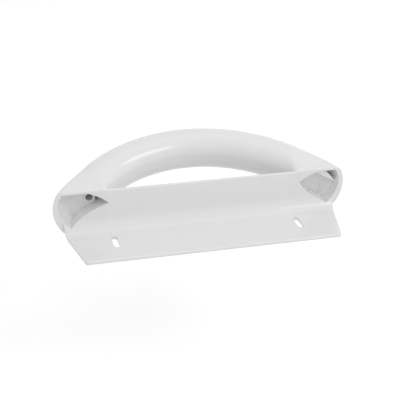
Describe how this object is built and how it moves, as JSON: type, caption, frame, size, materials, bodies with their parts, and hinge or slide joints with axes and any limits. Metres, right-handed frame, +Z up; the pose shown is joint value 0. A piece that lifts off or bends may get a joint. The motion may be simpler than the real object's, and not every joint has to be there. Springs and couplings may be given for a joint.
{
  "type": "fridge door handle",
  "caption": "White bow handle with hollow feet, a front plate and a slotted flange that screws under the edge of a fridge door.",
  "frame": {"origin": "on the flange's upper face, half way between the two screw slots", "axes": "+X along the handle, +Y away from the door, +Z up, square to the flange"},
  "size_m": [0.2048, 0.1006, 0.0485],
  "materials": {
    "handle_plastic": "gloss"
  },
  "bodies": {
    "root": {"door_handle": "handle_plastic"}
  },
  "joints": []
}
